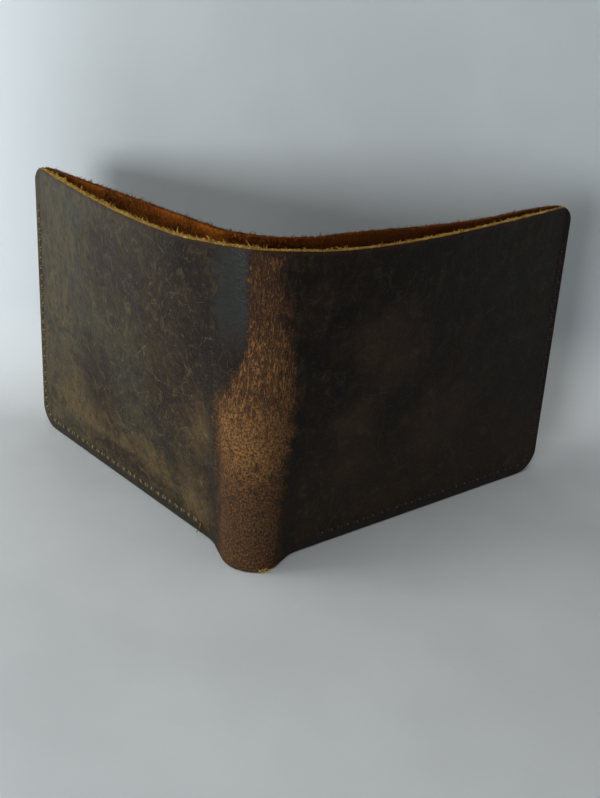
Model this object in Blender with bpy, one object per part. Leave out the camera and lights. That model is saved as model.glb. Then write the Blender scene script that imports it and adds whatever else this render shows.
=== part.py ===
"""Bifold wallet of thick oiled leather, standing open on its bottom edges.

The wallet is one outer cover sewn along three sides to a shorter lining, which carries three card
pockets on each half. The spare length of the cover bulges out at the spine as a nose, unsewn, and
between cover and lining is the bill compartment, open along the top.

Frame: metres, +Z up, the spine towards -Y, the two halves opening towards +Y, mirrored about X = 0,
and the origin under the middle of the wallet's box, on the surface that it stands on.

Each half is described in a panel frame: u runs along the half from the inner end of its bottom seam
to its far edge, n runs from the middle of the cover's thickness towards the inside, and z is up.
"""

import math

import bmesh
import bpy
import numpy as np
from mathutils import Vector

MM = 0.001

# Driving dimensions
HEIGHT = 90.0 * MM
PANEL_LENGTH = 93.4 * MM  # from the inner end of the bottom seam to the far edge
PANEL_ANGLE = math.radians(41.4)  # each half away from +X, as the wallet stands
SEAM_END = (16.0 * MM, 16.5 * MM)  # inner end of the bottom seam, from the tip of the nose
LEAN = 2.4 * MM  # how far each half's top far corner leans in from over the bottom one
BOTTOM_CORNER_RADIUS = 8.0 * MM
TOP_CORNER_RADIUS = 5.0 * MM

# Leather and the layers, as distances along n
COVER_THICKNESS = 1.5 * MM
LINING_THICKNESS = 1.2 * MM
POCKET_THICKNESS = 0.9 * MM
LAYER_GAP = 0.3 * MM
LINING_N = COVER_THICKNESS / 2 + LAYER_GAP + LINING_THICKNESS / 2
POCKET_STEP = POCKET_THICKNESS + LAYER_GAP
POCKET_N = LINING_N + LINING_THICKNESS / 2 + LAYER_GAP + POCKET_THICKNESS / 2

# The nose: the cover's spare length, bulging out at the bottom of the spine
NOSE_RADIUS = 6.0 * MM
NOSE_ANGLE = math.radians(55.0)
NOSE_STRAIGHT = 13.8 * MM
CREASE_LENGTH = 8.0 * MM  # where the nose's side bends back into the panel
SEAM_WIDTH = 3.4 * MM  # from the edge of the leather to where the cover may leave the lining

# The mouth: the cover's top edge, one wide curve from the spine to the side seam
MOUTH_START_PULL = 19.5 * MM
MOUTH_END_PULL = 56.0 * MM
MOUTH_END_ANGLE = math.radians(52.0)
MOUTH_FROM_Z = 6.5 * MM  # below this height the cover follows its bottom line

LINING_SPINE_RADIUS = 22.2 * MM

# The folds: one vertical axis on each side of the nose
FOLD_ALONG = 11.6 * MM  # from the inner end of the seam back towards the nose
FOLD_OUTWARD = 2.0 * MM
COVER_SPINE_HALF = (10.9 * MM, 7.9 * MM)  # half width of the spine piece, at the bottom and at the top
COVER_HALF_START = (12.6 * MM, 13.8 * MM)  # where the half's piece starts, at the bottom and at the top
LINING_SPINE_HALF = 5.4 * MM
LINING_HALF_START = 12.2 * MM

# Pockets: how high each opens, where its hem is, and how far its foot is drawn in to the lining
POCKETS = (
    # name, layer, hem height, top height, heights between which it leaves the lining
    ("upper_pocket", 0, 40.0 * MM, 78.0 * MM, (30.0 * MM, 38.0 * MM)),
    ("middle_pocket", 1, 28.0 * MM, 66.0 * MM, (30.0 * MM, 38.0 * MM)),
    ("front_pocket", 2, 0.0 * MM, 54.0 * MM, (8.0 * MM, 24.0 * MM)),
)
POCKET_START = 0.5 * MM

# Sewing
THREAD_RADIUS = 0.25 * MM
SEAM_INSET = 3.25 * MM
HOLE_RADIUS = THREAD_RADIUS + LAYER_GAP
HEM_INSET = 3.0 * MM
THREAD_BEND = 0.5 * MM

# How finely the curves are divided
LINE_STEP = 0.1 * MM
CORNER_STEPS = 6
COVER_ROWS = 9
COVER_STEP = 5.0 * MM
FLAT_STEP = 12.0 * MM  # a flat half leans, so it is divided too
SMOOTH_ANGLE = math.radians(40.0)

COVER_COLOUR = (0.062, 0.044, 0.028, 1.0)
LINING_COLOUR = (0.17, 0.064, 0.022, 1.0)
POCKET_COLOUR = (0.055, 0.036, 0.022, 1.0)
THREAD_COLOUR = (0.03, 0.018, 0.012, 1.0)


def line_from_headings(start, headings):
    """Points LINE_STEP apart, starting at start and heading along each angle in turn."""
    middle = (headings[1:] + headings[:-1]) / 2
    steps = np.column_stack([np.cos(middle), np.sin(middle)]) * LINE_STEP
    return np.vstack([[start], start + np.cumsum(steps, axis=0)])


def along(line, s):
    """The point of a line of LINE_STEP spacing at the distance s from its start."""
    steps = np.arange(len(line)) * LINE_STEP
    return np.array([np.interp(s, steps, line[:, 0]), np.interp(s, steps, line[:, 1])])


PANEL_ALONG = np.array([math.cos(PANEL_ANGLE), math.sin(PANEL_ANGLE)])
PANEL_INWARD = np.array([-math.sin(PANEL_ANGLE), math.cos(PANEL_ANGLE)])


def lean(u, height):
    """How far a place on a half leans inwards, in plan: nothing at the spine and along the bottom."""
    return LEAN * max(u, 0.0) / PANEL_LENGTH * height / HEIGHT * PANEL_INWARD


def panel_point(u, n, height=0.0):
    """Plan position, from the tip of the nose, of a place in the panel frame."""
    return np.array(SEAM_END) + u * PANEL_ALONG + n * PANEL_INWARD + lean(u, height)


NOSE_LENGTH = NOSE_RADIUS * NOSE_ANGLE + NOSE_STRAIGHT + CREASE_LENGTH / 2
COVER_LENGTH = NOSE_LENGTH + CREASE_LENGTH / 2 + PANEL_LENGTH - CREASE_LENGTH / 2


def foot_line():
    """The cover's bottom line: the nose's arc, its straight side, the crease and the panel."""
    s = np.arange(0.0, COVER_LENGTH + 2 * LINE_STEP, LINE_STEP)
    crease = np.clip((s - NOSE_LENGTH + CREASE_LENGTH / 2) / CREASE_LENGTH, 0.0, 1.0)
    headings = np.minimum(s / NOSE_RADIUS, NOSE_ANGLE) - (NOSE_ANGLE - PANEL_ANGLE) * crease
    line = line_from_headings(np.zeros(2), headings)
    # The nose's measures are rounded figures, so its side is eased over to meet the panel's own line.
    miss = panel_point(PANEL_LENGTH, 0.0) - along(line, COVER_LENGTH)
    return line + np.outer(np.minimum(s / (NOSE_LENGTH - CREASE_LENGTH / 2), 1.0), miss)


def mouth_line():
    """The cover's top line: a Bezier curve to the side seam, then the seam, evenly spaced as the foot line is."""
    seam_u = PANEL_LENGTH - SEAM_WIDTH
    end = panel_point(seam_u, 0.0)
    end_pull = MOUTH_END_PULL * np.array([math.cos(MOUTH_END_ANGLE), math.sin(MOUTH_END_ANGLE)])
    t = np.linspace(0.0, 1.0, 2000)[:, None]
    curve = 3 * np.array([MOUTH_START_PULL, 0.0]) * t * (1 - t) ** 2
    curve = curve + 3 * (end - end_pull) * t**2 * (1 - t) + end * t**3
    lengths = np.concatenate([[0.0], np.cumsum(np.linalg.norm(np.diff(curve, axis=0), axis=1))])
    s = np.arange(0.0, COVER_LENGTH + 2 * LINE_STEP, LINE_STEP)
    seam_s = COVER_LENGTH - SEAM_WIDTH
    on_curve = np.clip(s / seam_s, 0.0, 1.0) * lengths[-1]
    line = np.column_stack([np.interp(on_curve, lengths, curve[:, i]) for i in range(2)])
    return line + np.outer(np.clip(s - seam_s, 0.0, None), PANEL_ALONG)


FOOT = foot_line()
MOUTH = mouth_line()


def lining_line():
    """The lining's plan: an arc across the spine, then the panel, and the distance at which u is 0."""
    start = panel_point(0.0, LINING_N)
    sine, cosine = math.sin(PANEL_ANGLE), math.cos(PANEL_ANGLE)
    across = LINING_SPINE_RADIUS * sine
    y = start[1] - LINING_SPINE_RADIUS * (1 - cosine) + (across - start[0]) * sine / cosine
    s = np.arange(0.0, PANEL_LENGTH + 40.0 * MM, LINE_STEP)
    headings = np.minimum(s / LINING_SPINE_RADIUS, PANEL_ANGLE)
    line = line_from_headings(np.array([0.0, y]), headings)
    arc_end = LINING_SPINE_RADIUS * PANEL_ANGLE
    return line, arc_end - (along(line, arc_end) - start) @ PANEL_ALONG


LINING, LINING_U0 = lining_line()

FRONT_Y = -COVER_THICKNESS / 2
FRONT_POCKET_N = POCKET_N + 2 * POCKET_STEP
BACK_Y = panel_point(PANEL_LENGTH, FRONT_POCKET_N + POCKET_THICKNESS / 2, POCKETS[2][3])[1]
MIDDLE_Y = (FRONT_Y + BACK_Y) / 2
FOLD_POINT = panel_point(-FOLD_ALONG, -FOLD_OUTWARD)


def world(side, plan, z):
    return (side * plan[0], plan[1] - MIDDLE_Y, z)


def ease(x):
    x = min(max(x, 0.0), 1.0)
    return x * x * (3 - 2 * x)


def offset_point(plan_at, s, distance):
    """A point beside a plan line, the distance to its left, for a line given as a function of s."""
    step = LINE_STEP
    tangent = plan_at(s + step) - plan_at(s - step)
    tangent = tangent / np.linalg.norm(tangent)
    return plan_at(s) + distance * np.array([-tangent[1], tangent[0]])


def mirrored(line, s):
    """A point of a line that is mirrored about X = 0, for s on either side of 0."""
    point = along(line, abs(s))
    return point if s >= 0 else point * np.array([-1.0, 1.0])


def cover_point(s, height, n):
    """A point of the cover: from its foot line at the bottom to its mouth line at the top."""
    open_share = max(0.0, (height - MOUTH_FROM_Z) / (HEIGHT - MOUTH_FROM_Z))

    def plan_at(distance):
        foot = mirrored(FOOT, distance)
        return foot + open_share * (mirrored(MOUTH, distance) - foot)

    slope = np.linalg.norm(mirrored(MOUTH, s) - mirrored(FOOT, s)) / HEIGHT
    drop = height * open_share * slope**2 / 2
    return offset_point(plan_at, s, n) + lean(s - NOSE_LENGTH, height), height - drop


def lining_point(s, height, n):
    plan = offset_point(lambda distance: mirrored(LINING, distance), s, n)
    return plan + lean(s - LINING_U0, height), height


def divided(values, spacing):
    """The same rising values, with more between them so that no step is longer than spacing."""
    found = [values[0]]
    for low, high in zip(values, values[1:]):
        found += list(np.linspace(low, high, math.ceil((high - low) / spacing) + 1)[1:])
    return found


def corner_columns(u_start, spacing):
    """Values of u from u_start to the far edge, closer together round the bottom corner."""
    straight_end = PANEL_LENGTH - BOTTOM_CORNER_RADIUS
    count = max(1, math.ceil((straight_end - u_start) / spacing))
    columns = list(np.linspace(u_start, straight_end, count + 1))
    for step in range(1, CORNER_STEPS + 1):
        angle = step / CORNER_STEPS * math.pi / 2
        columns.append(straight_end + BOTTOM_CORNER_RADIUS * math.sin(angle))
    return columns


def corner_rise(u, radius):
    """How far a rounded corner has risen from the straight edge at u."""
    over = max(0.0, u - (PANEL_LENGTH - radius))
    return radius - math.sqrt(max(0.0, radius**2 - over**2))


def material(name, colour, roughness):
    made = bpy.data.materials.new(name)
    made.use_nodes = True
    shader = made.node_tree.nodes["Principled BSDF"]
    shader.inputs["Base Color"].default_value = colour
    shader.inputs["Roughness"].default_value = roughness
    shader.inputs["Metallic"].default_value = 0.0
    made.diffuse_color = colour
    return made


def add_mesh(name, points, faces, look, parent):
    mesh = bpy.data.meshes.new(name)
    mesh.from_pydata(points, [], faces)
    shape = bmesh.new()
    shape.from_mesh(mesh)
    bmesh.ops.recalc_face_normals(shape, faces=shape.faces)
    shape.to_mesh(mesh)
    shape.free()
    mesh.shade_smooth()
    mesh.set_sharp_from_angle(angle=SMOOTH_ANGLE)
    mesh.materials.append(look)
    obj = bpy.data.objects.new(name, mesh)
    bpy.context.scene.collection.objects.link(obj)
    keep_place(obj, parent)
    return obj


def keep_place(obj, parent):
    if parent is not None:
        obj.parent = parent
        obj.matrix_parent_inverse = parent.matrix_world.inverted()


def sheet(name, front, back, look, parent):
    """A closed sheet of leather between two grids of points, each a list of columns."""
    columns, rows = len(front), len(front[0])
    points = [p for column in front for p in column] + [p for column in back for p in column]

    def at(face, i, j):
        return (face * columns + i) * rows + j

    faces = []
    for i in range(columns - 1):
        for j in range(rows - 1):
            for face in range(2):
                faces.append([at(face, i, j), at(face, i + 1, j), at(face, i + 1, j + 1), at(face, i, j + 1)])
    for i in range(columns - 1):
        for j in (0, rows - 1):
            faces.append([at(0, i, j), at(0, i + 1, j), at(1, i + 1, j), at(1, i, j)])
    for j in range(rows - 1):
        for i in (0, columns - 1):
            faces.append([at(0, i, j), at(0, i, j + 1), at(1, i, j + 1), at(1, i, j)])
    return add_mesh(name, points, faces, look, parent)


def half_sheet(name, side, columns, heights, point_at, thickness, look, parent):
    """A sheet on one half. point_at(u, height, n) gives its plan point and height."""
    grids = []
    for n in (-thickness / 2, thickness / 2):
        grid = []
        for u in columns:
            low = max(heights[0], corner_rise(u, BOTTOM_CORNER_RADIUS))
            high = min(heights[-1], HEIGHT - corner_rise(u, TOP_CORNER_RADIUS))
            share = [(height - heights[0]) / (heights[-1] - heights[0]) for height in heights]
            grid.append([world(side, *point_at(u, low + (high - low) * r, n)) for r in share])
        grids.append(grid)
    return sheet(name, grids[0], grids[1], look, parent)


def spine_sheet(name, half_width_at, columns, rows, point_at, thickness, look, parent):
    grids = []
    for n in (-thickness / 2, thickness / 2):
        grid = []
        for share in np.linspace(-1.0, 1.0, columns):
            heights = np.linspace(0.0, HEIGHT, rows)
            grid.append([world(1, *point_at(share * half_width_at(z), z, n)) for z in heights])
        grids.append(grid)
    return sheet(name, grids[0], grids[1], look, parent)


def cover_half(side, look, parent):
    u_of_s = NOSE_LENGTH
    first, top = COVER_HALF_START

    def point_at(u, height, n):
        # The inner edge slants, so that the half clears the spine piece when the wallet is laid open.
        slant = (top - first) * height / HEIGHT * (PANEL_LENGTH - u) / (COVER_LENGTH - first)
        return cover_point(u + u_of_s + slant, height, n)

    heights = np.linspace(0.0, HEIGHT, COVER_ROWS)
    columns = corner_columns(first - u_of_s, COVER_STEP)
    return half_sheet(f"cover_{NAMES[side]}", side, columns, heights, point_at, COVER_THICKNESS, look, parent)


def lining_half(side, look, parent):
    def point_at(u, height, n):
        return lining_point(u + LINING_U0, height, n)

    start = LINING_HALF_START - LINING_U0
    arc_end = LINING_SPINE_RADIUS * PANEL_ANGLE - LINING_U0
    columns = list(np.linspace(start, arc_end, 4)) + corner_columns(arc_end, FLAT_STEP)[1:]
    heights = divided([0.0, HEIGHT], FLAT_STEP)
    return half_sheet(f"lining_{NAMES[side]}", side, columns, heights, point_at, LINING_THICKNESS, look, parent)


def pocket(name, side, layer, low, high, leaves, look, parent):
    """A card pocket: it stands off the lining by its layer, and is drawn in to the lining at its foot."""

    def point_at(u, height, n):
        standing = layer * POCKET_STEP * ease((height - leaves[0]) / (leaves[1] - leaves[0]))
        return panel_point(u, POCKET_N + standing + n, height), height

    bends = np.linspace(leaves[0], leaves[1], 5) if layer else []
    heights = divided([low] + [z for z in bends if low < z < high] + [high], FLAT_STEP)
    columns = corner_columns(POCKET_START, FLAT_STEP)
    return half_sheet(f"{name}_{NAMES[side]}", side, columns, heights, point_at, POCKET_THICKNESS, look, parent)


def thread(name, side, path, legs, look, parent):
    """A row of sewing: a thread along path, with a leg down into the leather at each end.

    path holds (u, z) pairs. legs holds the run's n and the n where each leg ends.
    """
    run_n, first_end, last_end = legs
    down = 1.0 if first_end > run_n else -1.0
    points = [(path[0][0], first_end, path[0][1])]
    points.append((path[0][0], run_n + down * THREAD_BEND, path[0][1]))
    bend = np.array(path[1]) - np.array(path[0])
    bend = np.array(path[0]) + bend / np.linalg.norm(bend) * THREAD_BEND
    points.append((bend[0], run_n, bend[1]))
    points += [(u, run_n, z) for u, z in path[1:-1]]
    bend = np.array(path[-2]) - np.array(path[-1])
    bend = np.array(path[-1]) + bend / np.linalg.norm(bend) * THREAD_BEND
    points.append((bend[0], run_n, bend[1]))
    points.append((path[-1][0], run_n + down * THREAD_BEND, path[-1][1]))
    points.append((path[-1][0], last_end, path[-1][1]))

    curve = bpy.data.curves.new(name, "CURVE")
    curve.dimensions = "3D"
    curve.bevel_depth = THREAD_RADIUS
    curve.bevel_resolution = 1
    curve.use_fill_caps = True
    spline = curve.splines.new("POLY")
    spline.points.add(len(points) - 1)
    for point, (u, n, z) in zip(spline.points, points):
        point.co = (*world(side, panel_point(u, n, z), z), 1.0)
    curve.materials.append(look)
    obj = bpy.data.objects.new(name, curve)
    bpy.context.scene.collection.objects.link(obj)
    keep_place(obj, parent)


def seam_path():
    """The sewing line down the side, round the bottom corner and along the bottom edge."""
    side_u = PANEL_LENGTH - SEAM_INSET
    centre = (PANEL_LENGTH - BOTTOM_CORNER_RADIUS, BOTTOM_CORNER_RADIUS)
    radius = BOTTOM_CORNER_RADIUS - SEAM_INSET
    path = [(side_u, HEIGHT - 6.0 * MM)]
    for step in range(CORNER_STEPS + 1):
        angle = -step / CORNER_STEPS * math.pi / 2
        path.append((centre[0] + radius * math.cos(angle), centre[1] + radius * math.sin(angle)))
    path.append((2.0 * MM, SEAM_INSET))
    return path


OUTSIDE_RUN_N = -COVER_THICKNESS / 2 - LAYER_GAP - THREAD_RADIUS
LINING_RUN_N = LINING_N - LINING_THICKNESS / 2 - LAYER_GAP - THREAD_RADIUS
IN_LINING_N = LINING_N + LINING_THICKNESS / 2 - 0.05 * MM
IN_UPPER_N = POCKET_N + POCKET_THICKNESS / 2 - 0.15 * MM

# Each row of sewing: its name, its path, and the n of its run and of the end of each leg
SEWING = (
    ("edge_stitching", seam_path(), (OUTSIDE_RUN_N, IN_LINING_N, IN_LINING_N)),
    (
        "pocket_stitching",
        [(2.5 * MM, 74.0 * MM), (2.5 * MM, 48.0 * MM), (2.5 * MM, 22.0 * MM)],
        (LINING_RUN_N, IN_UPPER_N, FRONT_POCKET_N),
    ),
    (
        "upper_hem_stitching",
        [(8.0 * MM, POCKETS[0][2] + HEM_INSET), (40.0 * MM, POCKETS[0][2] + HEM_INSET),
         (78.0 * MM, POCKETS[0][2] + HEM_INSET)],
        (LINING_RUN_N, IN_UPPER_N, IN_UPPER_N),
    ),
    (
        "middle_hem_stitching",
        [(8.0 * MM, POCKETS[1][2] + HEM_INSET), (36.0 * MM, POCKETS[1][2] + HEM_INSET),
         (66.0 * MM, POCKETS[1][2] + HEM_INSET)],
        (LINING_RUN_N, IN_UPPER_N, IN_UPPER_N),
    ),
)


def stitch_holes(side):
    """The punch for every stitch hole of one half: a rod round each leg, a little longer than the leg."""
    shape = bmesh.new()
    for _, path, (run_n, first_end, last_end) in SEWING:
        for (u, z), end in ((path[0], first_end), (path[-1], last_end)):
            depth = end - run_n + LAYER_GAP / 2 + THREAD_BEND
            middle = (end + LAYER_GAP / 2 + run_n - THREAD_BEND) / 2
            rod = bmesh.ops.create_cone(
                shape, cap_ends=True, segments=10, radius1=HOLE_RADIUS, radius2=HOLE_RADIUS, depth=depth
            )
            bmesh.ops.rotate(
                shape, verts=rod["verts"], cent=(0, 0, 0), matrix=rod_turn(side)
            )
            bmesh.ops.translate(shape, verts=rod["verts"], vec=world(side, panel_point(u, middle, z), z))
    mesh = bpy.data.meshes.new(f"stitch_holes_{NAMES[side]}")
    bmesh.ops.recalc_face_normals(shape, faces=shape.faces)
    shape.to_mesh(mesh)
    shape.free()
    punch = bpy.data.objects.new(mesh.name, mesh)
    punch.hide_render = True
    punch.display_type = "WIRE"
    bpy.context.scene.collection.objects.link(punch)
    return punch


def rod_turn(side):
    """The rotation that lays a rod along the panel's inward normal."""
    from_z = Vector((0.0, 0.0, 1.0))
    inward = Vector((side * PANEL_INWARD[0], PANEL_INWARD[1], 0.0))
    return from_z.rotation_difference(inward).to_matrix()


def punch_holes(obj, punch):
    cut = obj.modifiers.new("stitch_holes", "BOOLEAN")
    cut.operation = "DIFFERENCE"
    cut.solver = "EXACT"
    cut.object = punch


def fold_axis(name, side, parent):
    """An empty on the vertical axis about which one half folds."""
    axis = bpy.data.objects.new(name, None)
    axis.empty_display_size = HEIGHT / 4
    axis.location = world(side, FOLD_POINT, 0.0)
    bpy.context.scene.collection.objects.link(axis)
    bpy.context.view_layer.update()
    keep_place(axis, parent)
    bpy.context.view_layer.update()
    return axis


def spine(looks, parent):
    low, high = COVER_SPINE_HALF
    spine_sheet(
        "cover_spine",
        lambda z: low + (high - low) * z / HEIGHT,
        17, COVER_ROWS, cover_point, COVER_THICKNESS, looks["cover"], parent,
    )
    spine_sheet(
        "lining_spine",
        lambda z: LINING_SPINE_HALF,
        7, 2, lining_point, LINING_THICKNESS, looks["lining"], parent,
    )


def half(side, looks, parent):
    punch = stitch_holes(side)
    layers = [cover_half(side, looks["cover"], parent), lining_half(side, looks["lining"], parent)]
    for name, layer, low, high, leaves in POCKETS:
        layers.append(pocket(name, side, layer, low, high, leaves, looks["pocket"], parent))
    for layer in layers:
        punch_holes(layer, punch)
    for name, path, legs in SEWING:
        thread(f"{name}_{NAMES[side]}", side, path, legs, looks["thread"], parent)


NAMES = {-1: "left", 1: "right"}


def main():
    for obj in list(bpy.data.objects):
        bpy.data.objects.remove(obj)
    looks = {
        "cover": material("cover_leather", COVER_COLOUR, 0.42),
        "lining": material("lining_suede", LINING_COLOUR, 0.9),
        "pocket": material("pocket_leather", POCKET_COLOUR, 0.5),
        "thread": material("waxed_thread", THREAD_COLOUR, 0.6),
    }
    left_fold = fold_axis("left_fold_axis", -1, None)
    right_fold = fold_axis("right_fold_axis", 1, left_fold)
    half(-1, looks, None)
    spine(looks, left_fold)
    half(1, looks, right_fold)


main()
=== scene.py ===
"""The looks of the bifold wallet: worn waxed leather, suede, raw cut edges, sewing, floor and light.

Every sheet of leather is a closed ring of points per column: up its outer face, over the top edge, down
its inner face and under the bottom edge. Each half has a panel frame: u along the half from the inner
end of its bottom seam, n from the middle of the cover's thickness towards the inside, and z up.
"""

import math
from types import SimpleNamespace

import bmesh
import bpy
import numpy as np
from mathutils import Matrix, Vector


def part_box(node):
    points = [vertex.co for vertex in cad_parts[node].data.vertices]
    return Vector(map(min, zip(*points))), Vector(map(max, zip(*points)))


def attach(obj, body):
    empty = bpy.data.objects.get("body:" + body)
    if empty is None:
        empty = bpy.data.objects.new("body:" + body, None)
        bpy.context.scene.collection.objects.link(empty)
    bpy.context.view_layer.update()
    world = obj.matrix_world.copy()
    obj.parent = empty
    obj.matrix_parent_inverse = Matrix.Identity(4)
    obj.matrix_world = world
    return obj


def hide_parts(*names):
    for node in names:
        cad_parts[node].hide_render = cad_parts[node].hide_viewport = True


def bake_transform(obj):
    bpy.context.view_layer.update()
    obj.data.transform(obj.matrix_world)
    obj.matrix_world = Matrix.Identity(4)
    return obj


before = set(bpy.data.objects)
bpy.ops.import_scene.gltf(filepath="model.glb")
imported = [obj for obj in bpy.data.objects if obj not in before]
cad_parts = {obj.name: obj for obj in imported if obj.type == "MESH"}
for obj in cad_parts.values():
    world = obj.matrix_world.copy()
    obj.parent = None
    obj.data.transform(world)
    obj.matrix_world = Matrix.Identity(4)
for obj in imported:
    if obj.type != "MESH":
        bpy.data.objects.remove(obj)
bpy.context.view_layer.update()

MM = 0.001
RANDOM = np.random.default_rng(41)

# ---- Measures of the part, from the frame and as the design has them ----
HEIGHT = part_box("lining_spine")[1][2]
COVER_THICKNESS = 1.5 * MM
LINING_THICKNESS = 1.2 * MM
POCKET_THICKNESS = 0.9 * MM
LAYER_GAP = 0.3 * MM
TIP_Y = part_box("cover_spine")[0][1] + COVER_THICKNESS / 2

PANEL_LENGTH = 93.4 * MM
PANEL_ANGLE = math.radians(41.4)
SEAM_END = np.array([16.0 * MM, 16.5 * MM])
LEAN = 2.4 * MM
BOTTOM_CORNER_RADIUS = 8.0 * MM
TOP_CORNER_RADIUS = 5.0 * MM
LINING_N = COVER_THICKNESS / 2 + LAYER_GAP + LINING_THICKNESS / 2
POCKET_STEP = POCKET_THICKNESS + LAYER_GAP
POCKET_N = LINING_N + LINING_THICKNESS / 2 + LAYER_GAP + POCKET_THICKNESS / 2

NOSES = {
    # side: radius of the rounded front, angle and length of the flank behind it
    -1: (8.8 * MM, math.radians(63.0), 6.85 * MM),
    1: (7.0 * MM, math.radians(67.0), 4.5 * MM),
}
CREASE_LENGTH = 5.0 * MM
SEAM_WIDTH = 3.4 * MM
NOSE_LENGTH = 24.2 * MM
COVER_LENGTH = NOSE_LENGTH + PANEL_LENGTH
MOUTH_START_PULL = 19.5 * MM
MOUTH_END_PULL = 56.0 * MM
MOUTH_END_ANGLE = math.radians(52.0)
MOUTH_FROM_Z = 6.5 * MM
LINING_SPINE_RADIUS = 22.2 * MM
BOW = 3.6 * MM
BOW_LENGTH = 86.0 * MM
BOW_FROM_Z = 70.0 * MM

POCKETS = (
    # name, layer, hem height, top height, heights between which it leaves the lining
    ("upper_pocket", 0, 40.0 * MM, 78.0 * MM, (30.0 * MM, 38.0 * MM)),
    ("middle_pocket", 1, 28.0 * MM, 66.0 * MM, (30.0 * MM, 38.0 * MM)),
    ("front_pocket", 2, 0.0 * MM, 54.0 * MM, (8.0 * MM, 24.0 * MM)),
)
POCKET_START = 0.5 * MM

PANEL_ALONG = np.array([math.cos(PANEL_ANGLE), math.sin(PANEL_ANGLE)])
PANEL_INWARD = np.array([-math.sin(PANEL_ANGLE), math.cos(PANEL_ANGLE)])
LINE_STEP = 0.1 * MM
SIDES = {"left": -1, "right": 1}


def line_from_headings(start, headings):
    """A plan line of LINE_STEP spacing whose direction follows the headings."""
    middle = (headings[1:] + headings[:-1]) / 2
    steps = np.column_stack([np.cos(middle), np.sin(middle)]) * LINE_STEP
    return np.vstack([[start], start + np.cumsum(steps, axis=0)])


def along(line, s):
    """Points of a line of LINE_STEP spacing at the distances s from its start."""
    steps = np.arange(len(line)) * LINE_STEP
    return np.stack([np.interp(s, steps, line[:, 0]), np.interp(s, steps, line[:, 1])], axis=-1)


def travelled(path):
    """The distance from a path's start to each of its points."""
    return np.concatenate([[0.0], np.cumsum(np.linalg.norm(np.diff(path, axis=0), axis=1))])


def foot_line(radius, angle, straight):
    """The cover's bottom edge in plan: the nose's round front, its flank, a crease and the panel."""
    s = np.arange(0.0, COVER_LENGTH + 2 * LINE_STEP, LINE_STEP)
    crease_start = radius * angle + straight
    crease = np.clip((s - crease_start) / CREASE_LENGTH, 0.0, 1.0)
    headings = np.minimum(s / radius, angle) - (angle - PANEL_ANGLE) * crease
    line = line_from_headings(np.zeros(2), headings)
    miss = SEAM_END + PANEL_LENGTH * PANEL_ALONG - along(line, COVER_LENGTH)
    return line + np.outer(np.minimum(s / crease_start, 1.0), miss)


def mouth_line():
    """The cover's top edge in plan: one wide curve from the spine to the far seam."""
    seam_u = PANEL_LENGTH - SEAM_WIDTH
    end = SEAM_END + seam_u * PANEL_ALONG
    end_pull = MOUTH_END_PULL * np.array([math.cos(MOUTH_END_ANGLE), math.sin(MOUTH_END_ANGLE)])
    t = np.linspace(0.0, 1.0, 2000)[:, None]
    curve = 3 * np.array([MOUTH_START_PULL, 0.0]) * t * (1 - t) ** 2
    curve = curve + 3 * (end - end_pull) * t**2 * (1 - t) + end * t**3
    lengths = travelled(curve)
    s = np.arange(0.0, COVER_LENGTH + 2 * LINE_STEP, LINE_STEP)
    seam_s = COVER_LENGTH - SEAM_WIDTH
    on_curve = np.clip(s / seam_s, 0.0, 1.0) * lengths[-1]
    line = np.column_stack([np.interp(on_curve, lengths, curve[:, i]) for i in range(2)])
    return line + np.outer(np.clip(s - seam_s, 0.0, None), PANEL_ALONG)


FEET = {side: foot_line(*nose) for side, nose in NOSES.items()}
MOUTH = mouth_line()


def lining_line():
    """The lining in plan, round the spine and along the panel, and how far along its panel starts."""
    start = SEAM_END + LINING_N * PANEL_INWARD
    sine, cosine = math.sin(PANEL_ANGLE), math.cos(PANEL_ANGLE)
    across = LINING_SPINE_RADIUS * sine
    y = start[1] - LINING_SPINE_RADIUS * (1 - cosine) + (across - start[0]) * sine / cosine
    s = np.arange(0.0, PANEL_LENGTH + 40.0 * MM, LINE_STEP)
    line = line_from_headings(np.array([0.0, y]), np.minimum(s / LINING_SPINE_RADIUS, PANEL_ANGLE))
    arc_end = LINING_SPINE_RADIUS * PANEL_ANGLE
    return line, arc_end - (along(line, arc_end) - start) @ PANEL_ALONG


LINING, LINING_U0 = lining_line()
LINING_LENGTH = LINING_U0 + PANEL_LENGTH


def ease(x):
    """0 to 1 with level ends, held outside."""
    x = np.clip(x, 0.0, 1.0)
    return x * x * (3 - 2 * x)


def lean(u, z):
    """How far the halves lean in at the top, most at their far edges."""
    share = LEAN * np.clip(u, 0.0, None) / PANEL_LENGTH * z / HEIGHT
    return share[..., None] * PANEL_INWARD


def beside(plan_at, s, n):
    """Plan points the distance n to the left of a line given as a function of s, mirrored at s = 0."""
    step = LINE_STEP
    ahead, behind = plan_at(s + step), plan_at(np.abs(s - step))
    behind = behind * np.where((s < step)[..., None], [-1.0, 1.0], 1.0)
    tangent = ahead - behind
    tangent = tangent / np.linalg.norm(tangent, axis=-1, keepdims=True)
    normal = np.stack([-tangent[..., 1], tangent[..., 0]], axis=-1)
    return plan_at(s) + np.asarray(n)[..., None] * normal


def cover_surface_of(side):
    """The cover of one side, as a function from (s, z, n) to points. s is 0 at the spine's middle."""
    line = FEET[side]

    def surface(s, z, n):
        share = np.clip((z - MOUTH_FROM_Z) / (HEIGHT - MOUTH_FROM_Z), 0.0, None)

        def plan_at(distance):
            foot = along(line, distance)
            return foot + share[..., None] * (along(MOUTH, distance) - foot)

        slope = np.linalg.norm(along(MOUTH, s) - along(line, s), axis=-1) / HEIGHT
        plan = beside(plan_at, s, n) + lean(s - NOSE_LENGTH, z)
        return np.concatenate([plan, (z - z * share * slope**2 / 2)[..., None]], axis=-1)

    return surface


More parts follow.
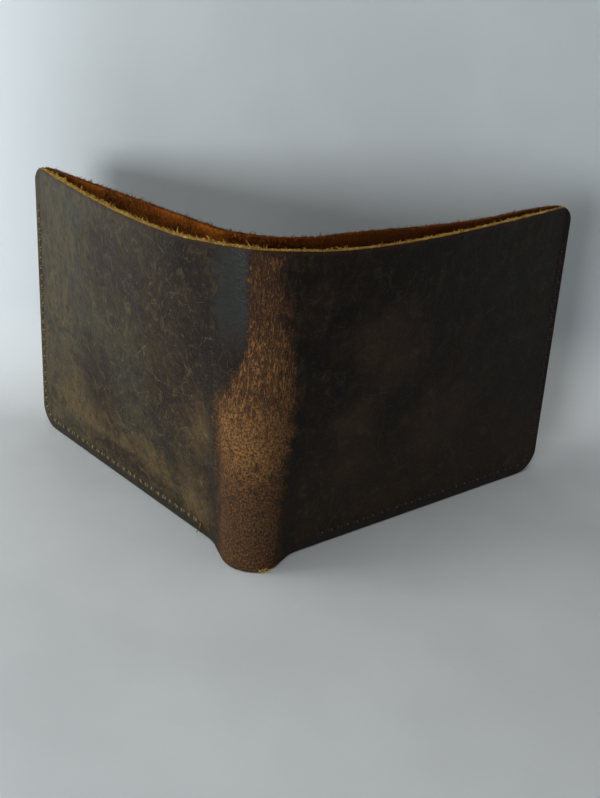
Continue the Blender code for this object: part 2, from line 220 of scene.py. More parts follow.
def lining_surface(s, z, n):
    """The lining, as a function from (s, z, n) to points."""
    plan = beside(lambda distance: along(LINING, distance), s, n) + lean(s - LINING_U0, z)
    return np.concatenate([plan, z[..., None]], axis=-1)


def bowed_lining_surface(s, z, n):
    """The right half's lining, whose free top strip flops towards the cover."""
    over = np.sin(math.pi * np.clip((s - LINING_U0) / BOW_LENGTH, 0.0, 1.0)) ** 2
    rise = (z - BOW_FROM_Z) / (HEIGHT - BOW_FROM_Z)
    return lining_surface(s, z, n - BOW * over * ease(rise))


LINING_SURFACES = {-1: lining_surface, 1: bowed_lining_surface}


def panel_surface(u, z, n):
    """Points of a half from its panel frame."""
    plan = SEAM_END + u[..., None] * PANEL_ALONG + np.asarray(n)[..., None] * PANEL_INWARD + lean(u, z)
    return np.concatenate([plan, z[..., None]], axis=-1)


def pocket_surface(layer, leaves):
    """A pocket, which lies on the lining at its foot and on its neighbours above leaves."""

    def surface(u, z, n):
        standing = layer * POCKET_STEP * ease((z - leaves[0]) / (leaves[1] - leaves[0]))
        return panel_surface(u, z, POCKET_N + standing + n)

    return surface


def in_row(points, side):
    """Points from the nose's tip into the row frame, mirrored on the left."""
    return points * np.array([side, 1.0, 1.0]) + np.array([0.0, TIP_Y, 0.0])


# ---- Meshes ----
TURN = 2 * math.pi
UV_NAME = "leather"
UV_UNIT = 0.1  # one unit of the UV map is a decimetre of leather
EDGE_ROUND = 0.34 * MM
EDGE_THICKNESS = 0.55  # of the leather's, right at a cut edge
RIM_BULGE = 0.12 * MM
SHARP_ANGLE = math.radians(48.0)
SEAM_ROWS = (0.7, 1.15, 1.6, 2.05, 2.5, 2.95, 3.4, 4.0, 4.8)  # mm from an edge, where seams press the leather
EDGE_ROWS = (0.0, 0.07, 0.18, 0.34)  # mm from a cut edge, where the edge is rounded
JOIN_COLUMN = 0.08 * MM  # from the first column, where two sheets meet
CLOSEST_COLUMNS = 0.02 * MM
CORNER_COLUMNS = 18
RIM_POINTS = (-0.32, -0.1, 0.12, 0.34)  # across a cut edge, as a share of the thickness
GRAIN, EDGE, FLESH = 0, 1, 2


def edge_distances(length, step):
    """Distances from one cut edge to the other: close together at edges and seams, else about a step."""
    near = np.array([*EDGE_ROWS, *SEAM_ROWS]) * MM
    count = max(1, round((length - 2 * near[-1]) / step))
    middle = np.linspace(near[-1], length - near[-1], count + 1)
    return np.concatenate([near[:-1], middle, length - near[-2::-1]])


def edge_profile(distance):
    """Half thickness, as a share, at a distance from a cut edge."""
    inside = np.clip(1 - distance / EDGE_ROUND, 0.0, 1.0)
    return EDGE_THICKNESS + (1 - EDGE_THICKNESS) * np.sqrt(1 - inside**2)


def corner_rise(u, radius):
    """How far a rounded corner of the far edge cuts in at u."""
    over = np.clip(u - (PANEL_LENGTH - radius), 0.0, radius)
    return radius - np.sqrt(radius**2 - over**2)


def far_columns(start, step, joined):
    """Values of u from start to the far edge, fine in the corner and, unless joined, at the start."""
    corner = PANEL_LENGTH - BOTTOM_CORNER_RADIUS
    count = max(1, round((corner - start) / step))
    columns = list(np.linspace(start, corner, count + 1)[:-1])
    if joined:
        columns.insert(1, start + JOIN_COLUMN)
    else:
        columns[1:1] = [start + row * MM for row in EDGE_ROWS[1:]]
    turns = np.linspace(0.0, 0.5 * math.pi, CORNER_COLUMNS + 1)[:-1]
    columns += list(corner + BOTTOM_CORNER_RADIUS * np.sin(turns))
    columns += [PANEL_LENGTH - row * MM for row in reversed(EDGE_ROWS)]
    columns = np.array(sorted(columns))
    return columns[np.concatenate([[True], np.diff(columns) > CLOSEST_COLUMNS])]


def sheet_faces(columns, rows):
    """Faces and slots of a sheet made of one closed ring of points per column, with flat ends."""
    rim = len(RIM_POINTS)
    total = 2 * (rows + rim)
    partner = 2 * rows + rim - 1
    faces, slots = [], []
    for i in range(columns - 1):
        for j in range(total):
            k = (j + 1) % total
            faces.append((i * total + j, (i + 1) * total + j, (i + 1) * total + k, i * total + k))
            if 1 <= j < rows - 2:
                slots.append(GRAIN)
            elif rows + rim + 1 <= j < partner - 1:
                slots.append(FLESH)
            else:
                slots.append(EDGE)
    for base in (0, (columns - 1) * total):
        for j in range(rows - 1):
            faces.append((base + j, base + j + 1, base + partner - j - 1, base + partner - j))
        faces.append([base + j for j in range(rows - 1, rows + rim + 1)])
        faces.append([base + j % total for j in range(partner, total + 1)])
        slots += [EDGE] * (rows + 1)
    return faces, slots


def leather_sheet(
    name, side, surface, columns, u_of, spans, thickness, joined, step, looks, rough, press=None
):
    """A sheet of leather on one half, as one closed mesh.

    columns are distances along the surface, u_of turns them into u for the rounded corners, spans is
    (low, high) in z, joined means that the first column meets the other half's sheet, rough is how far
    the raw top edge wanders, and press(s, z) says how far sewing pulls the faces in.
    """
    rows = edge_distances(spans[1] - spans[0], step)
    u = u_of(columns)
    low = np.maximum(spans[0], corner_rise(u, BOTTOM_CORNER_RADIUS))
    high = np.minimum(spans[1], HEIGHT - corner_rise(u, TOP_CORNER_RADIUS))
    z = low[:, None] + (high - low)[:, None] * (rows / rows[-1])[None, :]
    s = np.repeat(columns[:, None], len(rows), axis=1)
    start_edge = np.full_like(u, 1.0) if joined else u - u[0]
    end_edge = np.minimum(PANEL_LENGTH - u, start_edge)[:, None]
    edge = np.minimum(np.minimum(z - low[:, None], high[:, None] - z), end_edge)
    half = thickness / 2 * edge_profile(np.clip(edge, 0.0, None))
    pressed = press(s, z) if press else np.zeros_like(s)
    rim_at = np.array(RIM_POINTS)
    rim_s = np.repeat(columns[:, None], len(rim_at), axis=1)
    rim_n = np.broadcast_to(rim_at * thickness, rim_s.shape)
    fray = RANDOM.normal(0.0, 1.0, (2, *rim_s.shape)) * rough

    def rim(edge_z, sign, wander):
        bulge = (1 - (2 * rim_at) ** 2) * RIM_BULGE
        return edge_z[:, None] + sign * (bulge[None, :] + wander)

    top = rim(high, 1, fray[0])
    rings = [
        surface(s, z, -half + pressed),
        surface(rim_s, top, rim_n),
        surface(s[:, ::-1], z[:, ::-1], (half - pressed)[:, ::-1]),
        surface(rim_s, rim(low, -1, 0.0), -rim_n),
    ]
    points = np.concatenate(rings, axis=1)
    points[..., 2] = np.maximum(points[..., 2], 0.0)
    uv_s = np.concatenate([s, rim_s, s, rim_s], axis=1) * side
    uv_z = np.concatenate([z, top, z[:, ::-1], rim(low, -1, fray[1])], axis=1)
    uvs = np.stack([uv_s, uv_z], axis=-1).reshape(-1, 2) / UV_UNIT
    faces, slots = sheet_faces(len(columns), len(rows))
    return mesh_piece(name, in_row(points.reshape(-1, 3), side), faces, slots, looks, uvs)


def mesh_piece(name, points, faces, slots, looks, uvs):
    """A shown object, from points with their UVs and faces with their slots, which are all 0 if None."""
    mesh = bpy.data.meshes.new(name)
    mesh.from_pydata([tuple(p) for p in points], [], [tuple(f) for f in faces])
    for look in looks:
        mesh.materials.append(look)
    if slots is not None:
        mesh.polygons.foreach_set("material_index", np.array(slots, dtype=np.int32))
    layer = mesh.uv_layers.new(name=UV_NAME)
    corner = np.empty(len(mesh.loops), dtype=np.int32)
    mesh.loops.foreach_get("vertex_index", corner)
    layer.data.foreach_set("uv", np.asarray(uvs, dtype=np.float32)[corner].ravel())
    shape = bmesh.new()
    shape.from_mesh(mesh)
    bmesh.ops.recalc_face_normals(shape, faces=shape.faces)
    shape.to_mesh(mesh)
    shape.free()
    mesh.shade_smooth()
    mesh.set_sharp_from_angle(angle=SHARP_ANGLE)
    obj = bpy.data.objects.new(name, mesh)
    bpy.context.scene.collection.objects.link(obj)
    return obj


# ---- Materials ----
def srgb(red, green, blue):
    """Linear colour from 8-bit sRGB."""
    values = [c / 255 for c in (red, green, blue)]
    return (*[c / 12.92 if c <= 0.04045 else ((c + 0.055) / 1.055) ** 2.4 for c in values], 1.0)


class Look:
    """A node material under construction. Most methods add nodes and return an output socket."""

    def __init__(self, name):
        self.material = bpy.data.materials.new(name)
        self.material.use_nodes = True
        self.tree = self.material.node_tree
        self.shader = self.tree.nodes["Principled BSDF"]
        self.place = self.add("ShaderNodeUVMap", uv_map=UV_NAME).outputs["UV"]

    def feed(self, socket, value):
        if isinstance(value, bpy.types.NodeSocket):
            self.tree.links.new(value, socket)
        else:
            socket.default_value = value

    def add(self, kind, inputs=None, **settings):
        """A node with its settings, and its inputs fed by name or number with values or sockets."""
        node = self.tree.nodes.new(kind)
        for key, value in settings.items():
            setattr(node, key, value)
        for key, value in (inputs or {}).items():
            self.feed(node.inputs[key], value)
        return node

    def math(self, operation, *values, clamp=False):
        inputs = dict(enumerate(values))
        return self.add("ShaderNodeMath", inputs, operation=operation, use_clamp=clamp).outputs[0]

    def chain(self, operation, values):
        """One operation over all the values, from the first to the last."""
        found = values[0]
        for value in values[1:]:
            found = self.math(operation, found, value)
        return found

    def plus(self, *values):
        return self.chain("ADD", values)

    def times(self, *values):
        return self.chain("MULTIPLY", values)

    def most(self, values):
        return self.chain("MAXIMUM", values)

    def minus(self, value, less):
        return self.math("SUBTRACT", value, less)

    def unsigned(self, value):
        return self.math("ABSOLUTE", value)

    def mapped(self, scale, turn=0.0, shift=(0.0, 0.0), source=None):
        """The leather's coordinates, turned and then stretched: a larger scale is a finer pattern."""
        inputs = {"Vector": source or self.place, "Rotation": (0.0, 0.0, turn)}
        turned = self.add("ShaderNodeMapping", inputs, vector_type="POINT").outputs["Vector"]
        inputs = {"Vector": turned, "Scale": (*scale, 1.0), "Location": (*shift, 0.0)}
        return self.add("ShaderNodeMapping", inputs, vector_type="POINT").outputs["Vector"]

    def noise(self, scale, detail=3.0, roughness=0.55, shift=(0.0, 0.0), warp=0.0):
        scale = scale if isinstance(scale, tuple) else (scale, scale)
        inputs = {
            "Vector": self.mapped(scale, shift=shift), "Scale": 1.0,
            "Detail": detail, "Roughness": roughness, "Distortion": warp,
        }
        return self.add("ShaderNodeTexNoise", inputs, noise_dimensions="2D").outputs["Fac"]

    def cells(self, place, feature="F1"):
        inputs = {"Vector": place, "Scale": 1.0, "Randomness": 1.0}
        return self.add("ShaderNodeTexVoronoi", inputs, voronoi_dimensions="2D", feature=feature)

    def ramp(self, value, low, high, smooth=True, to=(0.0, 1.0)):
        """The value brought from low..high to to, and held at its ends."""
        kind = "SMOOTHSTEP" if smooth else "LINEAR"
        sockets = ("Value", "From Min", "From Max", "To Min", "To Max")
        inputs = dict(zip(sockets, (value, low, high, *to)))
        node = self.add("ShaderNodeMapRange", inputs, interpolation_type=kind, clamp=True)
        return node.outputs["Result"]

    def mix(self, share, first, second):
        """A colour between two others."""
        return self.add("ShaderNodeMix", {0: share, 6: first, 7: second}, data_type="RGBA").outputs[2]

    def mixed(self, share, first, second):
        """A number between two others."""
        return self.add("ShaderNodeMix", {0: share, 2: first, 3: second}, data_type="FLOAT").outputs[0]

    def shades(self, value, low, high, first, second):
        """A colour that goes from first to second, in 8-bit sRGB, as the value goes from low to high."""
        return self.mix(self.ramp(value, low, high), srgb(*first), srgb(*second))

    def paint(self, colour, share, tint):
        """The colour under a share of a tint in 8-bit sRGB."""
        return self.mix(share, colour, srgb(*tint))

    def axes(self, source=None):
        node = self.add("ShaderNodeSeparateXYZ", {0: source or self.place})
        return node.outputs["X"], node.outputs["Y"]

    def warped(self, scale, amount):
        """The leather's coordinates pushed about by noise, amount in decimetres."""
        inputs = {"Vector": self.place, "Scale": scale, "Detail": 4.0}
        pushes = self.add("ShaderNodeTexNoise", inputs, noise_dimensions="2D").outputs["Color"]
        inputs = {0: pushes, 1: (0.5, 0.5, 0.5)}
        centred = self.add("ShaderNodeVectorMath", inputs, operation="SUBTRACT").outputs[0]
        inputs = {0: centred, 1: (amount, amount, 0.0), 2: self.place}
        return self.add("ShaderNodeVectorMath", inputs, operation="MULTIPLY_ADD").outputs[0]

    def blob(self, centre, radii, source, turn=0.0):
        """1 in the middle of an ellipse, falling to 0 at its rim. Measures in mm of leather."""
        inputs = {
            "Vector": source,
            "Location": (centre[0] / 100, centre[1] / 100, 0.0),
            "Rotation": (0.0, 0.0, turn),
            "Scale": (radii[0] / 100, radii[1] / 100, 1.0),
        }
        within = self.add("ShaderNodeMapping", inputs, vector_type="TEXTURE").outputs["Vector"]
        node = self.add("ShaderNodeTexGradient", {"Vector": within}, gradient_type="SPHERICAL")
        return node.outputs["Fac"]

    def bump(self, height, distance, strength=1.0, under=None):
        inputs = {"Height": height, "Distance": distance, "Strength": strength}
        if under is not None:
            inputs["Normal"] = under
        return self.add("ShaderNodeBump", inputs).outputs["Normal"]

    def pebbled(self, distance, strength):
        """The fine round grain of leather, as a normal."""
        place = self.mapped((115.0, 115.0), source=self.warped(60.0, 0.012))
        return self.bump(self.cells(place).outputs["Distance"], distance, strength)

    def done(self, colour, roughness, normal=None, **more):
        """The finished material, from what the shader is fed."""
        given = {"Base Color": colour, "Roughness": roughness}
        given.update({key.replace("_", " "): value for key, value in more.items()})
        if normal is not None:
            given["Normal"] = normal
        for key, value in given.items():
            self.feed(self.shader.inputs[key], value)
        return self.material


def scratches(look, layers):
    """Fine short scratches, each in a direction of its own: 1 on a scratch.

    Each layer is (scratches per decimetre, width in mm, share of the places that have one).
    """
    found = []
    for i, (density, width, share) in enumerate(layers):
        place = look.mapped((density, density), 0.3 * i, (7.3 * i, 3.1 * i), look.warped(7.0, 0.05))
        cell = look.cells(place)
        inputs = {0: place, 1: cell.outputs["Position"]}
        offset = look.add("ShaderNodeVectorMath", inputs, operation="SUBTRACT").outputs[0]
        chance = look.add("ShaderNodeSeparateColor", {0: cell.outputs["Color"]})
        direction, curve, presence = chance.outputs[:3]
        inputs = {"Vector": offset, "Angle": look.times(direction, TURN)}
        turned = look.add("ShaderNodeVectorRotate", inputs, rotation_type="Z_AXIS").outputs[0]
        across, length = look.axes(turned)
        bend = look.times(length, length, look.ramp(curve, 0.0, 1.0, False, (-0.5, 0.5)))
        wide = width * density / 100
        line = look.ramp(look.unsigned(look.minus(across, bend)), wide, wide * 0.3)
        ends = look.ramp(look.unsigned(length), 0.5, 0.2)
        found.append(look.times(line, ends, look.ramp(presence, 1 - share, 1.0)))
    return look.most(found)


def steps(look, value, points):
    """A number that follows (value, result) points, eased between them."""
    found = points[0][1]
    for (low, before), (high, after) in zip(points[:-1], points[1:]):
        found = look.plus(found, look.ramp(value, low, high, to=(0.0, after - before)))
    return found


def places(look, at, full, *blobs):
    """0 outside some ellipses (centre, radii, turn) in mm of leather, rising to 1 well inside them."""
    found = [look.blob(centre, radii, at.wander, turn) for centre, radii, turn in blobs]
    return look.ramp(look.most(found), 0.0, full)


def cover_patterns(look):
    """The coordinates and noises that the parts of the cover's grain share."""
    at = SimpleNamespace(wander=look.warped(16.0, 0.07))
    at.s, at.z = look.axes()
    at.ws, at.wz = look.axes(at.wander)
    at.fine_s, _ = look.axes(look.warped(70.0, 0.035))
    at.cloudy = look.noise(9.0, 7.0, 0.66, shift=(4.0, 1.0), warp=0.6)
    at.mottle = look.noise((175.0, 135.0), 6.0, 0.8, shift=(9.0, 2.0), warp=0.3)
    at.patches = look.noise((38.0, 30.0), 6.0, 0.7, shift=(3.0, 6.0), warp=0.5)
    return at


def dark_body(look, at):
    """The leather itself, under the wax."""
    broad = look.noise(3.2, 5.0, 0.6)
    body = look.shades(at.cloudy, 0.36, 0.68, (14, 9, 6), (27, 19, 12))
    body = look.paint(body, look.ramp(broad, 0.45, 0.7, to=(0.0, 0.6)), (29, 20, 14))
    return look.paint(body, look.ramp(at.wz, 0.5, 0.05, to=(0.0, 0.4)), (46, 36, 25))


def left_haze_and_painted_sheen(look, at, colour):
    """Wax haze over the left half, stronger towards its far end and along its bottom, partly painted sheen:
    its olive and pale tones stand in for the light's reflection on the wax.
    """
    # Partly painted sheen: the olive and pale tones lighten the left half as the light from the left would on
    # the wax.
    olive = look.shades(at.cloudy, 0.34, 0.66, (30, 25, 17), (52, 45, 31))
    colour = look.mix(look.ramp(at.ws, -0.15, -0.42), colour, olive)
    pale = look.shades(at.cloudy, 0.3, 0.68, (50, 45, 31), (70, 63, 43))
    colour = look.mix(look.ramp(at.ws, -0.26, -0.98, to=(0.0, 0.8)), colour, pale)
    tan = places(
        look, at, 0.7,
        ((-84, 20), (30, 17), -0.18), ((-52, 12), (34, 10), -0.05),
        ((-28, 12), (12, 17), 0.1), ((-25, 37), (13, 17), 0.0),
    )
    tan = look.times(tan, look.ramp(at.cloudy, 0.25, 0.6, to=(0.3, 1.0)), 0.75)
    colour = look.paint(colour, tan, (80, 65, 41))
    grey = places(look, at, 0.7, ((-62, 36), (26, 20), 0.3), ((-84, 44), (12, 18), 0.0))
    colour = look.paint(colour, look.times(grey, 0.7), (42, 41, 33))
    brown = places(
        look, at, 0.65,
        ((-60, 72), (30, 20), 0.0), ((-36, 60), (18, 34), 0.2), ((-34, 42), (20, 14), 0.3),
        ((-76, 30), (16, 22), 0.3), ((-64, 8), (30, 5), -0.03),
    )
    brown = look.times(brown, look.ramp(at.cloudy, 0.7, 0.35, to=(0.6, 1.0)))
    return look.paint(colour, brown, (33, 23, 16))


def smudges(look, at, colour):
    """Upright smudges, most of all near the left half's far top corner."""
    streaky = look.noise((26.0, 6.0), 5.0, 0.62, shift=(1.0, 7.0))
    there = look.times(
        look.ramp(at.ws, -0.3, -0.75, to=(0.25, 1.0)), look.ramp(at.wz, 0.30, 0.7, to=(0.3, 1.0))
    )
    dark = look.times(there, look.ramp(streaky, 0.48, 0.30, to=(0.0, 0.6)))
    colour = look.paint(colour, dark, (30, 25, 20))
    pale = look.times(there, look.ramp(streaky, 0.55, 0.75, to=(0.0, 0.5)))
    return look.paint(colour, pale, (72, 66, 49))


def right_scuffs(look, at, colour):
    """The right half's faint brown clouds, and three scuffed places."""
    dim = look.times(look.ramp(at.ws, 0.1, 0.4), look.ramp(at.cloudy, 0.52, 0.8, to=(0.0, 0.5)))
    colour = look.paint(colour, dim, (42, 32, 22))
    scuffed = places(
        look, at, 0.8, ((42, 60), (17, 22), 0.5), ((32, 34), (10, 26), 0.0), ((66, 30), (20, 16), 0.0)
    )
    scuffed = look.times(scuffed, look.ramp(at.cloudy, 0.35, 0.65, to=(0.25, 0.6)))
    return look.paint(colour, scuffed, (52, 39, 27))


def blotches(look, at, colour):
    """Blotches a few millimetres wide, strongest where the wax has hazed."""
    wide = look.noise(26.0, 7.0, 0.72, shift=(8.0, 3.0), warp=0.7)
    small = look.noise(62.0, 5.0, 0.7, shift=(2.0, 9.0), warp=0.4)
    hazed = look.ramp(at.ws, 0.0, -0.3, to=(0.3, 1.0))
    for pattern, low, high, most, tint in (
        (wide, 0.50, 0.32, 0.60, (25, 18, 12)),
        (wide, 0.52, 0.70, 0.42, (86, 76, 52)),
        (small, 0.48, 0.30, 0.45, (26, 19, 13)),
        (small, 0.56, 0.74, 0.36, (92, 79, 53)),
    ):
        share = look.times(hazed, look.ramp(pattern, low, high, to=(0.0, most)))
        colour = look.paint(colour, share, tint)
    return colour


def band_extent(look, at):
    """1 on the rubbed band down the spine: narrow and sharp on its left above, wide below."""
    left_rim = steps(look, at.wz, [(0.02, -0.185), (0.28, -0.18), (0.46, -0.18), (0.66, -0.03)])
    right_rim = steps(
        look, at.wz, [(0.02, 0.115), (0.28, 0.108), (0.49, 0.13), (0.70, 0.10), (0.88, 0.07)]
    )
    sharp = look.ramp(at.wz, 0.50, 0.66, to=(0.12, 0.012))
    place = look.mixed(look.ramp(at.wz, 0.52, 0.66), at.ws, at.fine_s)
    inside_left = look.math("DIVIDE", look.minus(place, left_rim), sharp)
    inside_right = look.minus(right_rim, at.ws)
    return look.times(look.ramp(inside_left, 0.0, 1.0), look.ramp(inside_right, -0.035, 0.075))


def band_texture(look, at):
    """Upright cracks on the upper part of the band, a mottle on the lower."""
    cracks = []
    for size, shift, strength in (((110.0, 20.0), (1.0, 2.0), 1.0), ((170.0, 40.0), (5.0, 3.0), 0.8)):
        off_middle = look.unsigned(look.minus(look.noise(size, 2.0, 0.5, shift=shift, warp=0.5), 0.5))
        cracks.append(look.ramp(off_middle, 0.085, 0.0, to=(0.0, strength)))
    crumbs = look.noise((220.0, 80.0), 5.0, 0.75, shift=(2.0, 3.0), warp=0.8)
    wrinkled = look.times(look.most(cracks), look.ramp(crumbs, 0.3, 0.62))
    wrinkled = look.plus(look.times(wrinkled, 0.40), 0.30)
    return look.mixed(look.ramp(at.wz, 0.36, 0.60), at.mottle, wrinkled)


def rubbed_leather(look, at, texture):
    """The band's colour: tan, brightest below its middle and redder at its foot."""
    rubbed = look.shades(texture, 0.36, 0.66, (50, 33, 22), (112, 78, 47))
    bright = look.shades(texture, 0.38, 0.60, (66, 45, 26), (142, 102, 60))
    glow = places(
        look, at, 0.75, ((-3, 45), (17, 15), 0.35), ((-1, 38), (13, 16), 0.0), ((2, 58), (9, 18), 0.0)
    )
    rubbed = look.mix(look.times(glow, 0.85), rubbed, bright)
    reddish = look.shades(at.mottle, 0.40, 0.62, (44, 29, 19), (96, 67, 42))
    low = look.ramp(look.plus(at.wz, look.times(at.patches, 0.4)), 0.58, 0.40)
    return look.mix(look.times(low, 0.75), rubbed, reddish)


def wear(look, at, band):
    """How rubbed the leather is, from 0 to 1: the band with its edges broken up."""
    broken = look.times(look.minus(look.plus(at.mottle, at.patches), 1.0), 1.3)
    return look.times(
        look.ramp(look.plus(band, broken), 0.15, 0.8),
        look.ramp(band, 0.0, 0.25),
        look.ramp(at.patches, 0.34, 0.5, to=(0.55, 1.0)),
    )


def fine_marks(look, at, colour, slate):
    """Scratches, curled wear, specks and pores: the colour with them, and the scratches alone."""
    speckle = look.noise(230.0, 5.0, 0.75)
    pores = look.noise(120.0, 3.0, 0.6, shift=(6.0, 6.0))
    near_left = look.plus(places(look, at, 0.6, ((-36, 40), (50, 56), 0.0)), 0.35)
    marks = scratches(
        look, ((7.0, 0.12, 0.45), (15.0, 0.10, 0.35), (38.0, 0.08, 0.4), (70.0, 0.07, 0.5))
    )
    marks = look.math("MULTIPLY", marks, near_left, clamp=True)
    marks = look.times(marks, look.minus(1.0, look.times(slate, 0.8)))
    colour = look.paint(colour, look.times(marks, 0.40), (124, 112, 82))
    curls = look.cells(look.mapped((46.0, 46.0), source=look.warped(50.0, 0.09)), "DISTANCE_TO_EDGE")
    curls = look.ramp(curls.outputs["Distance"], 0.035, 0.0)
    curls = look.times(curls, look.ramp(at.cloudy, 0.50, 0.62), 0.22)
    colour = look.paint(colour, curls, (92, 78, 56))
    colour = look.paint(colour, look.ramp(speckle, 0.58, 0.8, to=(0.0, 0.4)), (84, 70, 50))
    return look.paint(colour, look.ramp(pores, 0.42, 0.28, to=(0.0, 0.45)), (20, 15, 12)), marks


def margins(look, at, colour):
    """Dark under the bottom seam, and burnt in along the top cut."""
    under_seam = look.times(
        look.ramp(at.z, 0.032, 0.020), look.ramp(look.unsigned(at.s), 0.16, 0.22), 0.75
    )
    colour = look.paint(colour, under_seam, (30, 29, 26))
    return look.paint(colour, look.ramp(at.z, 0.885, 0.896, to=(0.0, 0.7)), (44, 26, 17))


def cover_grain():
    """Waxed pull-up leather: dark brown, hazed khaki on the left (partly painted sheen of the light from the
    left), rubbed tan and fibrous on the spine.
    """
    look = Look("cover_grain")
    at = cover_patterns(look)
    colour = dark_body(look, at)
    for layer in (left_haze_and_painted_sheen, smudges, right_scuffs, blotches):
        colour = layer(look, at, colour)

    band = band_extent(look, at)
    texture = band_texture(look, at)
    worn = wear(look, at, band)
    colour = look.mix(worn, colour, rubbed_leather(look, at, texture))

    # A smooth slate patch beside the top of the band
    slate = look.times(
        look.ramp(look.unsigned(look.plus(at.ws, 0.066)), 0.062, 0.030),
        look.ramp(at.wz, 0.60, 0.76),
        look.minus(1.0, band),
    )
    colour = look.paint(colour, look.times(slate, 0.9), (36, 38, 36))
    colour, marks = fine_marks(look, at, colour, slate)
    colour = margins(look, at, colour)

    rough = look.mixed(worn, look.ramp(at.cloudy, 0.3, 0.7, to=(0.44, 0.60)), 0.85)
    rough = look.plus(look.mixed(slate, rough, 0.34), look.times(marks, 0.2))
    normal = look.bump(look.noise(150.0, 4.0, 0.6), 0.0002, 0.45, look.pebbled(0.0001, 0.35))
    normal = look.bump(look.times(texture, worn), 0.0006, 0.8, normal)
    normal = look.bump(look.times(marks, -1.0), 0.00008, 0.6, normal)
    return look.done(colour, rough, normal, Specular_IOR_Level=0.11)


def suede(name, dark, middle, light, shade=None):
    """Flesh side of the leather: napped, rust brown, with a soft sheen. Colours in 8-bit sRGB."""
    look = Look(name)
    nap = look.noise((150.0, 110.0), 6.0, 0.8, warp=0.5)
    clumps = look.noise(34.0, 4.0, 0.65, shift=(5.0, 2.0))
    broad = look.noise(5.0, 3.0, 0.5, shift=(1.0, 8.0))
    pits = look.noise((100.0, 82.0), 3.0, 0.7, shift=(2.0, 6.0), warp=0.3)
    colour = look.shades(nap, 0.36, 0.6, dark, middle)
    colour = look.paint(colour, look.ramp(nap, 0.54, 0.7, to=(0.0, 0.9)), light)
    colour = look.paint(colour, look.ramp(pits, 0.47, 0.36, to=(0.0, 0.75)), dark)
    colour = look.paint(colour, look.ramp(clumps, 0.6, 0.36, to=(0.0, 0.55)), dark)
    colour = look.paint(colour, look.ramp(broad, 0.4, 0.7, to=(0.0, 0.3)), light)
    # Painted shade: the shade colour darkens the suede towards the right half, which lies out of the light.
    if shade:
        s, _ = look.axes()
        colour = look.paint(colour, look.ramp(s, -0.1, 0.35, to=(0.0, 0.7)), shade)
    normal = look.bump(nap, 0.0006, 0.9)
    normal = look.bump(pits, 0.0009, 0.7, normal)
    normal = look.bump(clumps, 0.0008, 0.5, normal)
    sheen = {"Sheen_Weight": 0.08, "Sheen_Roughness": 0.5, "Sheen_Tint": srgb(*light)}
    return look.done(colour, 0.95, normal, Specular_IOR_Level=0.1, **sheen)


def raw_edge(name, dark, middle, light):
    """Cut edge: short pale fibres, darker where wax soaked in from the grain. Colours in 8-bit sRGB."""
    look = Look(name)
    fine = look.noise(260.0, 5.0, 0.75, warp=0.4)
    stains = look.noise(26.0, 4.0, 0.6, shift=(2.0, 2.0))
    colour = look.shades(fine, 0.35, 0.6, dark, middle)
    colour = look.paint(colour, look.ramp(fine, 0.55, 0.75), light)
    colour = look.paint(colour, look.ramp(stains, 0.45, 0.72, to=(0.0, 0.55)), dark)
    return look.done(colour, 0.92, look.bump(fine, 0.0006, 1.0), Specular_IOR_Level=0.12)


def pocket_grain():
    """The pockets' waxed leather, less rubbed than the cover, and painted paler as painted light for the card
    side, which gets only bounced light.
    """
    look = Look("pocket_grain")
    cloudy = look.noise(9.0, 6.0, 0.62)
    streaky = look.noise((8.0, 46.0), 4.0, 0.6)
    speckle = look.noise(150.0, 4.0, 0.7)
    # Painted light: these tones are paler to lift the card side, which only bounced light reaches.
    colour = look.shades(cloudy, 0.34, 0.7, (54, 39, 28), (92, 66, 44))
    colour = look.paint(colour, look.ramp(streaky, 0.5, 0.8, to=(0.0, 0.4)), (112, 81, 52))
    marks = scratches(look, ((14.0, 0.16, 0.5), (30.0, 0.12, 0.5)))
    colour = look.paint(colour, look.times(marks, 0.45), (148, 116, 80))
    colour = look.paint(colour, look.ramp(speckle, 0.5, 0.26, to=(0.0, 0.4)), (28, 20, 15))
    rough = look.ramp(cloudy, 0.3, 0.7, to=(0.38, 0.56))
    creases = look.noise(130.0, 4.0, 0.6, shift=(3.0, 1.0))
    normal = look.bump(creases, 0.0002, 0.5, look.pebbled(0.00012, 0.4))
    return look.done(colour, rough, normal, Specular_IOR_Level=0.3)


def waxed_thread(name, dark, light):
    """Two-ply waxed thread: its UV runs along and round the thread, so the twist is a slanted stripe."""
    look = Look(name)
    along_it, round_it = look.axes()
    twist = look.math("SINE", look.plus(look.times(along_it, 520.0), look.times(round_it, TURN)))
    fuzz = look.noise(400.0, 3.0, 0.7)
    colour = look.shades(twist, -0.7, 0.7, dark, light)
    colour = look.paint(colour, look.ramp(fuzz, 0.4, 0.7, to=(0.0, 0.5)), dark)
    return look.done(colour, 0.6, look.bump(twist, 0.0001, 0.7), Specular_IOR_Level=0.15)


def dark_hole():
    """The inside of a pricked hole, painted dark as the shade down the hole."""
    look = Look("stitch_hole")
    # Painted shade: the crater is shallow, and this dark colour stands in for the shade deep in a real hole.
    colour = srgb(16, 10, 7)
    darker = (*(0.6 * c for c in colour[:3]), 1.0)
    mottle = look.ramp(look.noise(60.0, 4.0, 0.6), 0.35, 0.65, to=(0.0, 0.5))
    return look.done(look.mix(mottle, colour, darker), 0.9)


# ---- Sewing ----
SIDE_INSET = 2.2 * MM
BOTTOM_INSET = 3.3 * MM
SEAM_TOP = 77.6 * MM
SEAM_FOOT_U = 1.6 * MM  # where the bottom seam ends beside the nose
STITCH_PITCH = 3.2 * MM
STITCH_RADIUS = 0.52 * MM
STITCH_SHARE = 0.64  # of the pitch that the thread shows between its holes
STITCH_SLANT = 0.24
HOLE_RADIUS = 0.72 * MM
SEAM_DEPTH = 0.17 * MM
SEAM_HALF_WIDTH = 1.0 * MM
DIMPLE_DEPTH = 0.1 * MM
DIMPLE_RADIUS = 0.8 * MM


